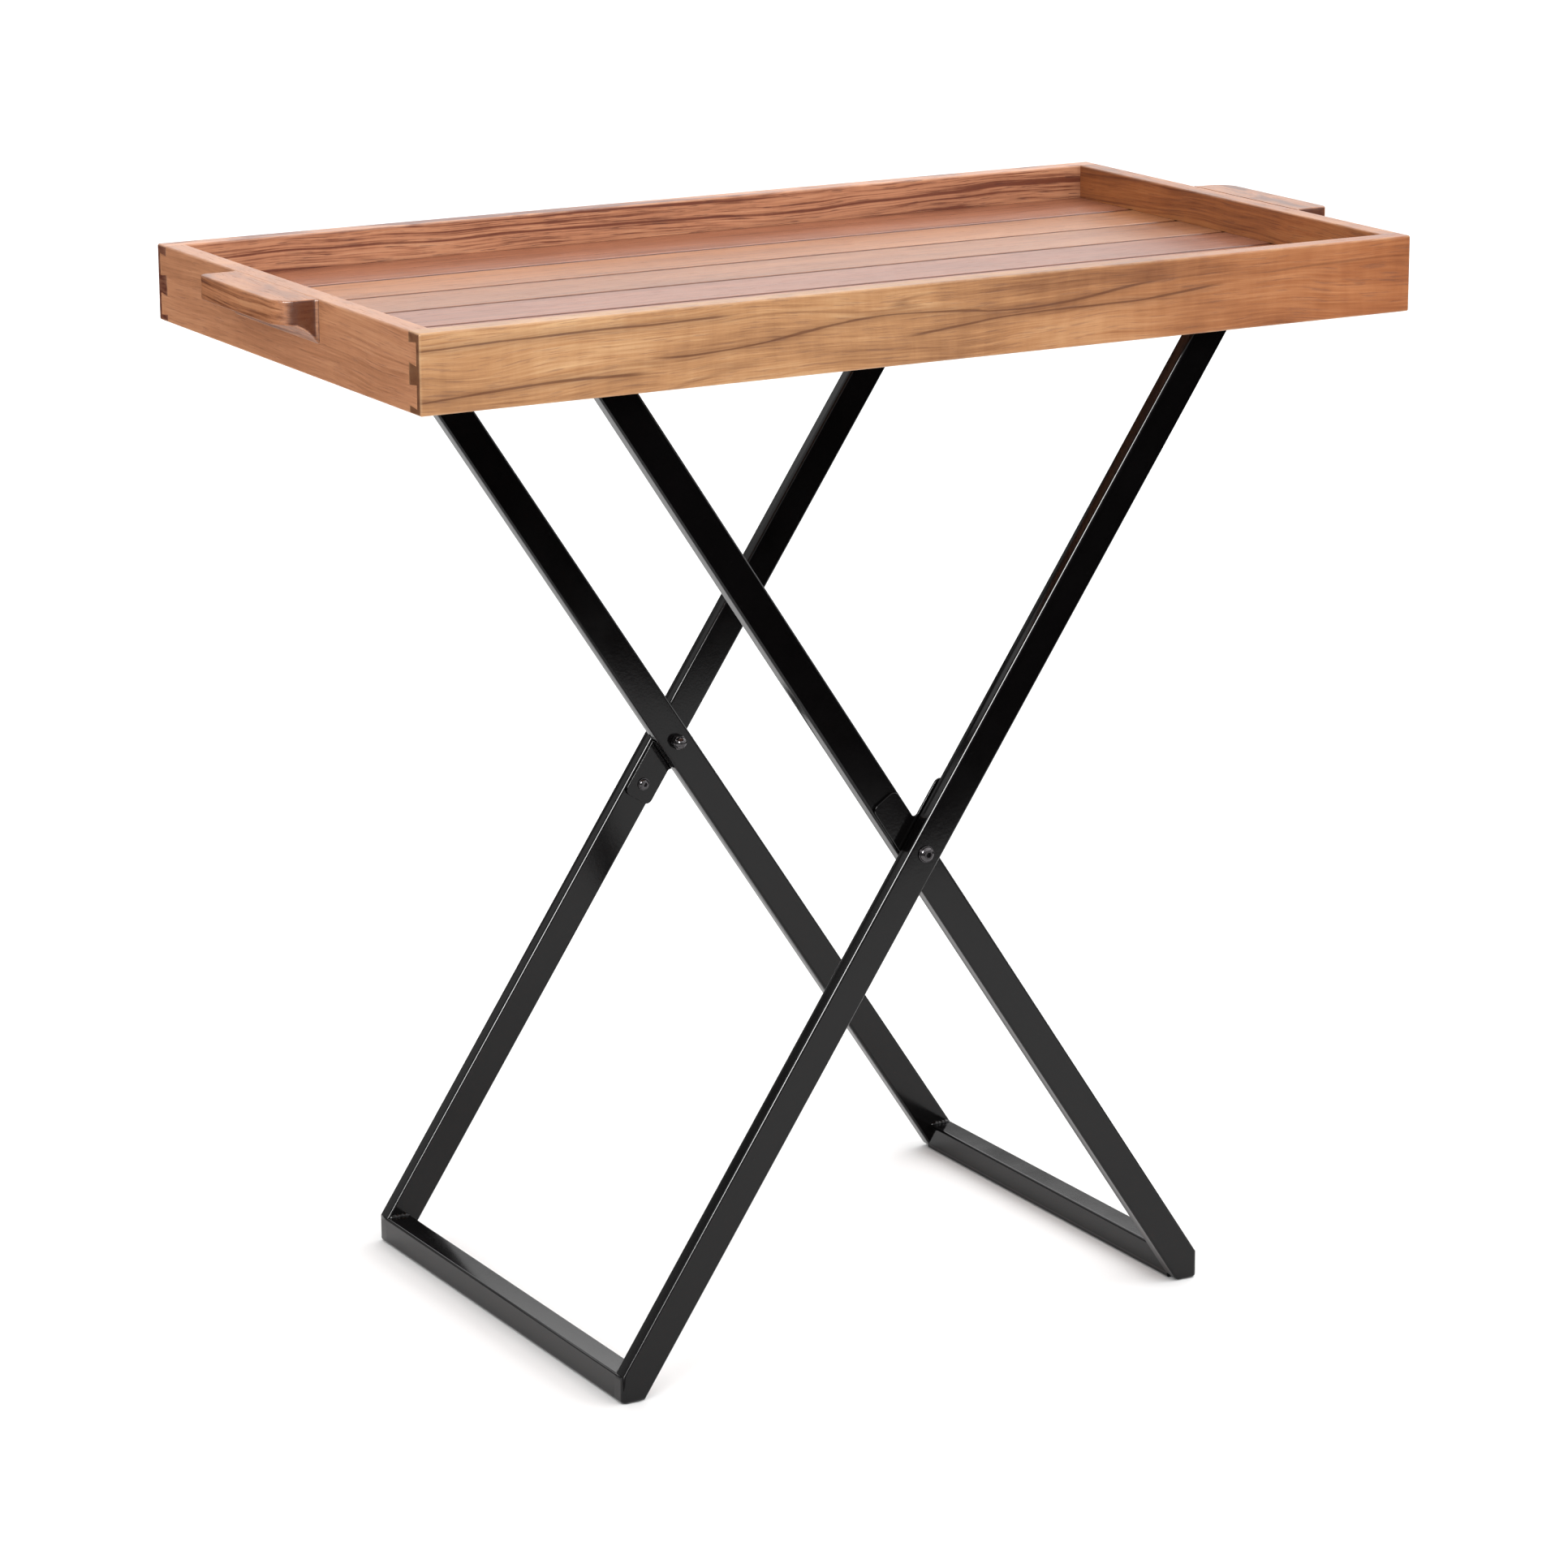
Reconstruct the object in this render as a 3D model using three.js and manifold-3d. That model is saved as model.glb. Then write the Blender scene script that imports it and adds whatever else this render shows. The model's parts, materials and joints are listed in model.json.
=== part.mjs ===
// Folding tray table: a dovetailed wooden tray with two grip handles, lying on a crossed steel stand.
// Millimetres, +Z up, X along the tray, origin on the floor under the middle of the tray.
import * as THREE from "three";
import { mergeVertices } from "three/addons/utils/BufferGeometryUtils.js";
import Module from "manifold-3d";

const wasm = await Module();
wasm.setup();

// ---------------------------------------------------------------- driving dimensions
const GAP = 0.3; // clearance between pieces that touch in the real object
const JOINT_GAP = 0.2; // glue line around the dovetails
const SEGMENTS = 32; // facets on round parts
const SCREW_SEGMENTS = 20; // facets on the small wood screws and their holes

// tray
const TRAY_LENGTH = 624;
const TRAY_DEPTH = 341;
const RIM_Z = 614; // overall height of the table
const WALL_HEIGHT = 43.5;
const WALL_THICK = 12.5;
const FLOOR_BELOW_RIM = 20;
const SLAT_THICK = 8;
const SLAT_COUNT = 6;
const SLAT_PITCH = 50.5; // spacing of the joints between slats
const SLAT_SPACE = 0.9;
const SLAT_CHAMFER = 1.3;
const GROOVE_DEPTH = 4; // how far the slats are let into the walls

// half-blind dovetails: tails on the end walls, sockets in the long walls
const TAIL_LENGTH = 8.7;
const TAIL_FLARE = 1.0;
const TAILS = [
  [4.4, 15.1],
  [26.9, 37.5],
]; // lower and upper edge of each tail above the wall's bottom edge

// handles
const HANDLE_LENGTH = 110;
const HANDLE_REACH = 22.5;
const HANDLE_THICK = 13.8;
const HANDLE_ROOT_HEIGHT = 24.2;
const HANDLE_ROOT_REACH = 8.2;
const HANDLE_CORNER = 9;
const HANDLE_FLARE = 3;
const HANDLE_SHIFT = { left: 7, right: -4 }; // each handle sits a little off centre

// battens under the slats, just outside the stand's top bars
const BATTEN_WIDTH = 18;
const BATTEN_THICK = 10;
const BATTEN_LENGTH = 300;
const BATTEN_INNER_X = 200.5;
const SCREW_HEAD_D = 7;
const SCREW_SHANK_D = 3.5;
const SCREW_REACH = 15; // head face to tip

// stand: legs are 20 x 10 tube, bars are 16 x 16 tube
const LEG_WIDTH = 20;
const LEG_THICK = 10;
const TUBE_WALL = 1.2;
const BAR = 16;
const OUTER_HALF = 157.2; // outer frame, middle to outer face along Y
const FRAME_GAP = 2.2; // between the outer frame's and the inner frame's legs
const PIVOT_Z = 290;
const LEG_RUN = 193; // axis of a leg, from the pivot to the floor, along X
const FOOT_X = 195; // outer face of a foot bar
const TOP_X = 199; // outer face of a top bar

// pivot hardware and stop plates
const BOLT_D = 5;
const BOLT_HOLE_D = 5.12;
const BOLT_HEAD_D = 9.8;
const BOLT_HEAD_H = 2.9;
const NUT_ACROSS = 8;
const NUT_HEIGHT = 4.2;
const NUT_DOME = 3.6;
const PLATE_THICK = 1.5;
const PLATE_ARM = 42;
const PLATE_SHORT_ARM = 38;
const PLATE_PROUD = 0.8; // the long arm stands this far proud of the outer leg, inside the V
const PLATE_INSET = 1.2; // the short arm stays this far inside the inner leg's edge
const PLATE_MARGIN = 1.3; // both arms stop this far short of the legs' outer edges
const PLATE_FILLET = 2.5;
const PLATE_SCREW_AT = 32;
const PLATE_SCREW_D = 4;
const PLATE_SCREW_HOLE_D = 4.3;
const PLATE_SCREW_HEAD_D = 7.6;
const PLATE_SCREW_HEAD_H = 2.2; // stands in the inner leg's path, so it ends the fold
const PLATE_SCREW_LENGTH = 7;

// ---------------------------------------------------------------- derived dimensions
const HALF_L = TRAY_LENGTH / 2;
const HALF_D = TRAY_DEPTH / 2;
const INNER_L = HALF_L - WALL_THICK;
const INNER_D = HALF_D - WALL_THICK;
const WALL_BOTTOM = RIM_Z - WALL_HEIGHT;
const FLOOR_Z = RIM_Z - FLOOR_BELOW_RIM;
const UNDER_Z = FLOOR_Z - SLAT_THICK;
const STAND_TOP = UNDER_Z - GAP;
const OUTER_INSIDE = OUTER_HALF - LEG_THICK;
const INNER_HALF = OUTER_INSIDE - FRAME_GAP;
const INNER_INSIDE = INNER_HALF - LEG_THICK;
const LEG_DIR = new THREE.Vector2(LEG_RUN, PIVOT_Z).normalize();

// ---------------------------------------------------------------- geometry helpers
const toManifold = (geometry) => {
  const bare = geometry.clone();
  bare.deleteAttribute("normal");
  bare.deleteAttribute("uv");
  const merged = mergeVertices(bare, 1e-4);
  const index = merged.index.array;
  const triVerts = [];
  for (let i = 0; i < index.length; i += 3) {
    const [a, b, c] = [index[i], index[i + 1], index[i + 2]];
    if (a !== b && b !== c && c !== a) triVerts.push(a, b, c);
  }
  const vertProperties = new Float32Array(merged.attributes.position.array);
  return new wasm.Manifold(
    new wasm.Mesh({ numProp: 3, vertProperties, triVerts: new Uint32Array(triVerts) })
  );
};

const toGeometry = (solid) => {
  const mesh = solid.getMesh();
  const geometry = new THREE.BufferGeometry();
  const positions = new Float32Array(mesh.vertProperties);
  geometry.setAttribute("position", new THREE.BufferAttribute(positions, 3));
  geometry.setIndex(new THREE.BufferAttribute(new Uint32Array(mesh.triVerts), 1));
  geometry.computeVertexNormals();
  return geometry;
};

// box from its low and high corners
const box = (low, high) => {
  const size = high.map((value, i) => value - low[i]);
  const geometry = new THREE.BoxGeometry(...size);
  geometry.translate(...low.map((value, i) => value + size[i] / 2));
  return toManifold(geometry);
};

// outline extruded between two positions along an axis; the outline is (Y,Z), (X,Z) or (X,Y)
const prism = (outline, axis, from, to) => {
  const points = outline.map(([a, b]) => new THREE.Vector2(a, b));
  if (THREE.ShapeUtils.area(points) < 0) points.reverse();
  const depth = to - from;
  const options = { depth, bevelEnabled: false, curveSegments: 1 };
  const geometry = new THREE.ExtrudeGeometry(new THREE.Shape(points), options);
  if (axis === "x") {
    const turn = new THREE.Matrix4().set(0, 0, 1, 0, 1, 0, 0, 0, 0, 1, 0, 0, 0, 0, 0, 1);
    geometry.applyMatrix4(turn);
    geometry.translate(from, 0, 0);
  } else if (axis === "y") {
    geometry.rotateX(Math.PI / 2);
    geometry.translate(0, to, 0);
  } else {
    geometry.translate(0, 0, from);
  }
  return toManifold(geometry);
};

// turned part: closed profile of [radius, height], along +Y from the origin
const turned = (profile) => {
  const points = profile.map(([radius, height]) => new THREE.Vector2(radius, height));
  return toManifold(new THREE.LatheGeometry(points, SEGMENTS));
};

// keeps the side of a convex outline where a*p + b*q <= limit
const clip = (outline, a, b, limit) => {
  const kept = [];
  outline.forEach((point, i) => {
    const next = outline[(i + 1) % outline.length];
    const here = a * point[0] + b * point[1] - limit;
    const there = a * next[0] + b * next[1] - limit;
    if (here <= 0) kept.push(point);
    if (here * there < 0) {
      const t = here / (here - there);
      kept.push([point[0] + t * (next[0] - point[0]), point[1] + t * (next[1] - point[1])]);
    }
  });
  return kept;
};

// outline with each listed corner radius rounded
const rounded = (corners, steps = 6) => {
  const outline = [];
  corners.forEach(([x, y, radius], i) => {
    if (!radius) {
      outline.push([x, y]);
      return;
    }
    const before = corners[(i + corners.length - 1) % corners.length];
    const after = corners[(i + 1) % corners.length];
    const corner = new THREE.Vector2(x, y);
    const back = new THREE.Vector2(before[0], before[1]).sub(corner).normalize();
    const ahead = new THREE.Vector2(after[0], after[1]).sub(corner).normalize();
    const half = Math.acos(THREE.MathUtils.clamp(back.dot(ahead), -1, 1)) / 2;
    const reach = radius / Math.tan(half);
    const start = corner.clone().addScaledVector(back, reach);
    const end = corner.clone().addScaledVector(ahead, reach);
    const bisector = back.clone().add(ahead).normalize();
    const centre = corner.clone().addScaledVector(bisector, radius / Math.sin(half));
    const from = start.clone().sub(centre).angle();
    let sweep = end.clone().sub(centre).angle() - from;
    if (sweep > Math.PI) sweep -= 2 * Math.PI;
    if (sweep < -Math.PI) sweep += 2 * Math.PI;
    for (let k = 0; k <= steps; k += 1) {
      const angle = from + (sweep * k) / steps;
      outline.push([centre.x + radius * Math.cos(angle), centre.y + radius * Math.sin(angle)]);
    }
  });
  return outline;
};

// cylinder along an axis between two positions
const rod = (axis, diameter, from, to, a, b, segments = SEGMENTS) => {
  const geometry = new THREE.CylinderGeometry(diameter / 2, diameter / 2, to - from, segments);
  if (axis === "z") geometry.rotateX(Math.PI / 2);
  if (axis === "y") geometry.translate(a, (from + to) / 2, b);
  if (axis === "z") geometry.translate(a, b, (from + to) / 2);
  return toManifold(geometry);
};

const flip = (solid, axis) => solid.mirror([axis === "x" ? 1 : 0, axis === "y" ? 1 : 0, 0]);

const group = new THREE.Group();
const addPart = (name, solid, look) => {
  const material = new THREE.MeshStandardMaterial(look);
  const mesh = new THREE.Mesh(toGeometry(solid), material);
  mesh.name = name;
  group.add(mesh);
};

const WOOD_LONG = { color: 0xb98555, roughness: 0.5, metalness: 0 };
const WOOD_END = { color: 0xb5794f, roughness: 0.5, metalness: 0 };
const WOOD_SLAT = { color: 0xa9714d, roughness: 0.45, metalness: 0 };
const WOOD_GRIP = { color: 0xa8703f, roughness: 0.5, metalness: 0 };
const WOOD_HIDDEN = { color: 0xc09a6b, roughness: 0.7, metalness: 0 };
const BLACK_PAINT = { color: 0x141314, roughness: 0.28, metalness: 0.1 };
const BLACK_STEEL = { color: 0x1d1c1d, roughness: 0.3, metalness: 0.8 };
const ZINC = { color: 0xb9bcc0, roughness: 0.35, metalness: 0.9 };

// ---------------------------------------------------------------- tray walls
// one tail of an end wall at the +Y corner, drawn in (Y, Z), grown by a clearance
const tailOutline = ([low, high], grow) => {
  const root = INNER_D - (grow > 0 ? 1 : 0);
  const tip = INNER_D + TAIL_LENGTH + grow;
  const flareAt = (y) => (TAIL_FLARE * (y - INNER_D)) / TAIL_LENGTH;
  return [
    [root, WALL_BOTTOM + low - grow - flareAt(root)],
    [tip, WALL_BOTTOM + low - grow - flareAt(tip)],
    [tip, WALL_BOTTOM + high + grow + flareAt(tip)],
    [root, WALL_BOTTOM + high + grow + flareAt(root)],
  ];
};

const makeLongWall = () => {
  let wall = box([-HALF_L, INNER_D, WALL_BOTTOM], [HALF_L, HALF_D, RIM_Z]);
  const grooveLow = [-INNER_L + 1, INNER_D - 1, UNDER_Z - GAP];
  const grooveHigh = [INNER_L - 1, INNER_D + GROOVE_DEPTH, FLOOR_Z + GAP];
  wall = wall.subtract(box(grooveLow, grooveHigh));
  for (const tail of TAILS) {
    const outline = tailOutline(tail, JOINT_GAP);
    const socket = prism(outline, "x", INNER_L - JOINT_GAP, HALF_L + 1);
    wall = wall.subtract(socket).subtract(flip(socket, "x"));
  }
  return wall;
};

const makeEndWall = () => {
  const end = INNER_D - JOINT_GAP;
  let wall = box([INNER_L, -end, WALL_BOTTOM], [HALF_L, end, RIM_Z]);
  for (const tail of TAILS) {
    const outline = tailOutline(tail, 0).map(([y, z]) => [Math.max(y, INNER_D), z]);
    outline[0][0] = end - 1;
    outline[3][0] = end - 1;
    const solid = prism(outline, "x", INNER_L, HALF_L);
    wall = wall.add(solid).add(flip(solid, "y"));
  }
  const grooveLow = [INNER_L - 1, -INNER_D + 1, UNDER_Z - GAP];
  const grooveHigh = [INNER_L + GROOVE_DEPTH, INNER_D - 1, FLOOR_Z + GAP];
  return wall.subtract(box(grooveLow, grooveHigh));
};

const longWall = makeLongWall();
const endWall = makeEndWall();
addPart("front_wall", flip(longWall, "y"), WOOD_LONG);
addPart("back_wall", longWall, WOOD_LONG);
addPart("left_wall", flip(endWall, "x"), WOOD_END);
addPart("right_wall", endWall, WOOD_END);

// ---------------------------------------------------------------- slats and battens
const slatEdges = [];
for (let i = 0; i <= SLAT_COUNT; i += 1) slatEdges.push((i - SLAT_COUNT / 2) * SLAT_PITCH);
slatEdges[0] = -(INNER_D + GROOVE_DEPTH - GAP);
slatEdges[SLAT_COUNT] = -slatEdges[0];

const battenHoles = [];
for (const side of [-1, 1]) {
  for (let i = 0; i < SLAT_COUNT; i += 1) {
    const inner = (i + 0.5 - SLAT_COUNT / 2) * SLAT_PITCH;
    const y = Math.sign(inner) * Math.min(Math.abs(inner), BATTEN_LENGTH / 2 - 16);
    battenHoles.push({ side, slat: i, x: side * (BATTEN_INNER_X + BATTEN_WIDTH / 2), y });
  }
}

const makeSlat = (i) => {
  const first = i === 0;
  const last = i === SLAT_COUNT - 1;
  const low = first ? slatEdges[i] : slatEdges[i] + SLAT_SPACE / 2;
  const high = last ? slatEdges[i + 1] : slatEdges[i + 1] - SLAT_SPACE / 2;
  const lowCut = first ? 0.3 : SLAT_CHAMFER;
  const highCut = last ? 0.3 : SLAT_CHAMFER;
  const outline = [
    [low, UNDER_Z],
    [high, UNDER_Z],
    [high, FLOOR_Z - highCut],
    [high - highCut, FLOOR_Z],
    [low + lowCut, FLOOR_Z],
    [low, FLOOR_Z - lowCut],
  ];
  const reach = INNER_L + GROOVE_DEPTH - GAP;
  let slat = prism(outline, "x", -reach, reach);
  if (first || last) {
    const side = first ? -1 : 1;
    for (const end of [-1, 1]) {
      const xs = [end * (INNER_L - 1 - GAP), end * (reach + 1)].sort((a, b) => a - b);
      const ys = [side * (INNER_D - 1 - GAP), side * (HALF_D + 1)].sort((a, b) => a - b);
      slat = slat.subtract(box([xs[0], ys[0], UNDER_Z - 1], [xs[1], ys[1], FLOOR_Z + 1]));
    }
  }
  const depth = SCREW_REACH - BATTEN_THICK + 0.6;
  for (const hole of battenHoles.filter((entry) => entry.slat === i)) {
    const wide = SCREW_SHANK_D + 0.3;
    const pilot = rod("z", wide, UNDER_Z - 1, UNDER_Z + depth, hole.x, hole.y, SCREW_SEGMENTS);
    slat = slat.subtract(pilot);
  }
  return slat;
};

for (let i = 0; i < SLAT_COUNT; i += 1) addPart(`slat_${i + 1}`, makeSlat(i), WOOD_SLAT);

// countersunk screw pointing up, head face at z = 0
const battenScrew = (() => {
  const head = SCREW_HEAD_D / 2;
  const shank = SCREW_SHANK_D / 2;
  const profile = [
    [0, 0],
    [head, 0],
    [head, 0.5],
    [shank, 2.3],
    [shank, SCREW_REACH - 2.5],
    [0, SCREW_REACH],
  ];
  const points = profile.map(([radius, height]) => new THREE.Vector2(radius, height));
  const lathe = new THREE.LatheGeometry(points, SCREW_SEGMENTS);
  const body = toManifold(lathe.rotateX(Math.PI / 2));
  const blade = box([-2, -0.5, -1], [2, 0.5, 1.2]);
  return body.subtract(blade).subtract(blade.rotate([0, 0, 90]));
})();

const battenBottom = UNDER_Z - GAP - BATTEN_THICK;
for (const side of [-1, 1]) {
  const label = side < 0 ? "left" : "right";
  const half = BATTEN_LENGTH / 2;
  const inner = BATTEN_INNER_X;
  const outer = BATTEN_INNER_X + BATTEN_WIDTH;
  let batten = box([inner, -half, battenBottom], [outer, half, UNDER_Z - GAP]);
  if (side < 0) batten = flip(batten, "x");
  const holes = battenHoles.filter((entry) => entry.side === side);
  for (const hole of holes) {
    const { x, y } = hole;
    const bottom = battenBottom - 1;
    const bore = rod("z", SCREW_SHANK_D + 0.4, bottom, UNDER_Z, x, y, SCREW_SEGMENTS);
    const sink = rod("z", SCREW_HEAD_D + 0.6, bottom, bottom + 3.7, x, y, SCREW_SEGMENTS);
    batten = batten.subtract(bore).subtract(sink);
  }
  addPart(`${label}_batten`, batten, WOOD_HIDDEN);
  holes.forEach((hole, i) => {
    const screw = battenScrew.translate([hole.x, hole.y, battenBottom + 0.3]);
    addPart(`${label}_batten_screw_${i + 1}`, screw, ZINC);
  });
}

// ---------------------------------------------------------------- handles
const makeHandle = (shift) => {
  const foot = HANDLE_LENGTH / 2;
  const neck = foot - HANDLE_FLARE;
  const plan = rounded([
    [GAP, -foot, 0],
    [GAP + 0.5, -foot, 0],
    [GAP + HANDLE_FLARE, -neck, HANDLE_FLARE * 1.2],
    [HANDLE_REACH, -neck + 1, HANDLE_CORNER],
    [HANDLE_REACH, neck - 1, HANDLE_CORNER],
    [GAP + HANDLE_FLARE, neck, HANDLE_FLARE * 1.2],
    [GAP + 0.5, foot, 0],
    [GAP, foot, 0],
  ]);
  const grip = prism(plan, "z", RIM_Z - HANDLE_ROOT_HEIGHT - 1, RIM_Z).translate([HALF_L, shift, 0]);
  const under = RIM_Z - HANDLE_THICK;
  const root = RIM_Z - HANDLE_ROOT_HEIGHT;
  const side = [
    [HALF_L, root],
    [HALF_L + GAP + 0.4, root],
    [HALF_L + HANDLE_ROOT_REACH, under],
    [HALF_L + HANDLE_REACH + 1, under],
    [HALF_L + HANDLE_REACH + 1, RIM_Z + 1],
    [HALF_L, RIM_Z + 1],
  ];
  return grip.intersect(prism(side, "y", shift - foot - 1, shift + foot + 1));
};

addPart("left_handle", flip(makeHandle(HANDLE_SHIFT.left), "x"), WOOD_GRIP);
addPart("right_handle", makeHandle(HANDLE_SHIFT.right), WOOD_GRIP);

// ---------------------------------------------------------------- stand frames
// a leg leaning from its foot at -X to its top at +X, drawn in (X, Z); inset gives the hollow
const legOutline = (inset) => {
  const half = LEG_WIDTH / 2 - inset;
  const along = LEG_DIR.clone().multiplyScalar(500);
  const across = new THREE.Vector2(LEG_DIR.y, -LEG_DIR.x).multiplyScalar(half);
  let outline = [
    [-along.x - across.x, PIVOT_Z - along.y - across.y],
    [-along.x + across.x, PIVOT_Z - along.y + across.y],
    [along.x + across.x, PIVOT_Z + along.y + across.y],
    [along.x - across.x, PIVOT_Z + along.y - across.y],
  ];
  outline = clip(outline, 0, -1, -inset);
  outline = clip(outline, 0, 1, STAND_TOP - inset);
  outline = clip(outline, -1, 0, FOOT_X - inset);
  return clip(outline, 1, 0, TOP_X - inset);
};

// a leg on the +Y side of a frame, its outer face at y = outside
const makeLeg = (outside) => {
  const inside = outside - LEG_THICK;
  const shell = prism(legOutline(0), "y", inside, outside);
  const hollow = prism(legOutline(TUBE_WALL), "y", inside + TUBE_WALL, outside - TUBE_WALL);
  const hole = rod("y", BOLT_HOLE_D, inside - 1, outside + 1, 0, PIVOT_Z);
  return shell.subtract(hollow).subtract(hole);
};

// open square tube between the legs of a frame
const makeBar = (xInner, zLow, half) => {
  const shell = box([xInner, -half, zLow], [xInner + BAR, half, zLow + BAR]);
  const low = [xInner + TUBE_WALL, -half - 1, zLow + TUBE_WALL];
  const high = [xInner + BAR - TUBE_WALL, half + 1, zLow + BAR - TUBE_WALL];
  return shell.subtract(box(low, high));
};

// stop plate screw position, seen from the pivot, on the +Y side: down the leg to its foot
const screwX = -LEG_DIR.x * PLATE_SCREW_AT;
const screwZ = PIVOT_Z - LEG_DIR.y * PLATE_SCREW_AT;
// point reflection through the middle of the pivot axis: the other side, the other end of the legs
const throughPivot = (solid) =>
  solid.translate([0, 0, -PIVOT_Z]).rotate([180, 0, 0]).mirror([1, 0, 0]).translate([0, 0, PIVOT_Z]);

const screwBore = rod("y", PLATE_SCREW_HOLE_D, OUTER_INSIDE - 1, OUTER_INSIDE + 3, screwX, screwZ);
const outerLegBack = makeLeg(OUTER_HALF).subtract(screwBore);
const outerLegFront = flip(makeLeg(OUTER_HALF), "y").subtract(throughPivot(screwBore));
const innerLeg = flip(makeLeg(INNER_HALF), "x");

const outerBarHalf = OUTER_INSIDE - GAP;
const innerBarHalf = INNER_INSIDE - GAP;
addPart("outer_leg_front", outerLegFront, BLACK_PAINT);
addPart("outer_leg_back", outerLegBack, BLACK_PAINT);
addPart("outer_foot_bar", makeBar(-FOOT_X, 0, outerBarHalf), BLACK_PAINT);
addPart("outer_top_bar", makeBar(TOP_X - BAR, STAND_TOP - BAR, outerBarHalf), BLACK_PAINT);
addPart("inner_leg_front", flip(innerLeg, "y"), BLACK_PAINT);
addPart("inner_leg_back", innerLeg, BLACK_PAINT);
addPart("inner_foot_bar", makeBar(FOOT_X - BAR, 0, innerBarHalf), BLACK_PAINT);
addPart("inner_top_bar", makeBar(-TOP_X, STAND_TOP - BAR, innerBarHalf), BLACK_PAINT);

// ---------------------------------------------------------------- pivot bolts, nuts, stop plates
const hexagon = (across, x, z) => {
  const outline = [];
  for (let k = 0; k < 6; k += 1) {
    const angle = (k * Math.PI) / 3;
    const radius = across / Math.sqrt(3);
    outline.push([x + radius * Math.cos(angle), z + radius * Math.sin(angle)]);
  }
  return outline;
};

// button head along +Y: under-face at 0, shank towards -Y, hexagonal socket in the crown
const buttonScrew = (headD, headH, shankD, length, socket) => {
  const profile = [
    [0, -length],
    [shankD / 2 - 0.5, -length],
    [shankD / 2, -length + 0.5],
    [shankD / 2, 0],
    [headD / 2, 0],
    [headD / 2, headH * 0.2],
    [headD * 0.45, headH * 0.5],
    [headD * 0.36, headH * 0.82],
    [headD * 0.27, headH],
    [0, headH],
  ];
  const cut = prism(hexagon(socket, 0, 0), "y", headH * 0.3, headH + 1);
  return turned(profile).subtract(cut);
};

const headFace = OUTER_HALF + GAP;
const nutFace = INNER_INSIDE - GAP;
const boltLength = headFace - (nutFace - NUT_HEIGHT);
const bolt = buttonScrew(BOLT_HEAD_D, BOLT_HEAD_H, BOLT_D, boltLength, 3)
  .translate([0, headFace, PIVOT_Z]);

const makeNut = () => {
  const hex = prism(hexagon(NUT_ACROSS, 0, PIVOT_Z), "y", nutFace - NUT_HEIGHT, nutFace);
  const dome = [[0, 0.5]];
  const radius = NUT_ACROSS / 2 - 0.1;
  dome.push([radius, 0.5]);
  for (let k = 0; k <= 6; k += 1) {
    const angle = (k * Math.PI) / 12;
    dome.push([radius * Math.cos(angle), -NUT_DOME * Math.sin(angle)]);
  }
  const cap = turned(dome.reverse()).translate([0, nutFace - NUT_HEIGHT, PIVOT_Z]);
  const bore = rod("y", BOLT_HOLE_D, nutFace - NUT_HEIGHT - 1, nutFace + 1, 0, PIVOT_Z);
  return hex.add(cap).subtract(bore);
};

// V-shaped plate between the crossing legs: one arm down each lower leg, drawn in (X, Z)
const makePlate = () => {
  const half = LEG_WIDTH / 2;
  const longInside = half + PLATE_PROUD;
  const shortInside = half - PLATE_INSET;
  const outside = half - PLATE_MARGIN;
  const tilt = Math.atan2(LEG_DIR.x, LEG_DIR.y);
  const arm = (length, inside, side) => {
    const corners = rounded(
      [
        [-outside, 0, 0],
        [-outside, -length, 4],
        [inside, -length, 4],
        [inside, 0, 0],
      ],
      5
    );
    return corners.map(([u, v]) => {
      const x = u * Math.cos(tilt) + v * Math.sin(tilt);
      const z = -u * Math.sin(tilt) + v * Math.cos(tilt);
      return [side * x, PIVOT_Z + z];
    });
  };
  const from = OUTER_INSIDE - GAP - PLATE_THICK;
  const to = OUTER_INSIDE - GAP;
  let plate = prism(arm(PLATE_ARM, longInside, 1), "y", from, to);
  plate = plate.add(prism(arm(PLATE_SHORT_ARM, shortInside, -1), "y", from, to));
  plate = plate.add(rod("y", 2 * outside, from, to, 0, PIVOT_Z));
  // small round fillet at the crotch of the V
  const crotchX = (longInside - shortInside) / (2 * Math.cos(tilt));
  const crotchZ = PIVOT_Z - (longInside + shortInside) / (2 * Math.sin(tilt));
  const tangent = PLATE_FILLET / Math.tan(tilt);
  const centreZ = crotchZ - PLATE_FILLET / Math.sin(tilt);
  const web = prism(
    [
      [crotchX, crotchZ + 1],
      [crotchX - tangent * Math.sin(tilt), crotchZ - tangent * Math.cos(tilt)],
      [crotchX + tangent * Math.sin(tilt), crotchZ - tangent * Math.cos(tilt)],
    ],
    "y",
    from,
    to
  );
  const eye = rod("y", 2 * PLATE_FILLET, from - 1, to + 1, crotchX, centreZ);
  plate = plate.add(web).subtract(eye);
  plate = plate.subtract(rod("y", BOLT_HOLE_D, from - 1, to + 1, 0, PIVOT_Z));
  return plate.subtract(rod("y", PLATE_SCREW_HOLE_D, from - 1, to + 1, screwX, screwZ));
};

const plateScrewFace = OUTER_INSIDE - 2 * GAP - PLATE_THICK;
const plateScrew = buttonScrew(
  PLATE_SCREW_HEAD_D,
  PLATE_SCREW_HEAD_H,
  PLATE_SCREW_D,
  PLATE_SCREW_LENGTH,
  2.5
)
  .mirror([0, 1, 0])
  .translate([screwX, plateScrewFace, screwZ]);

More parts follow.
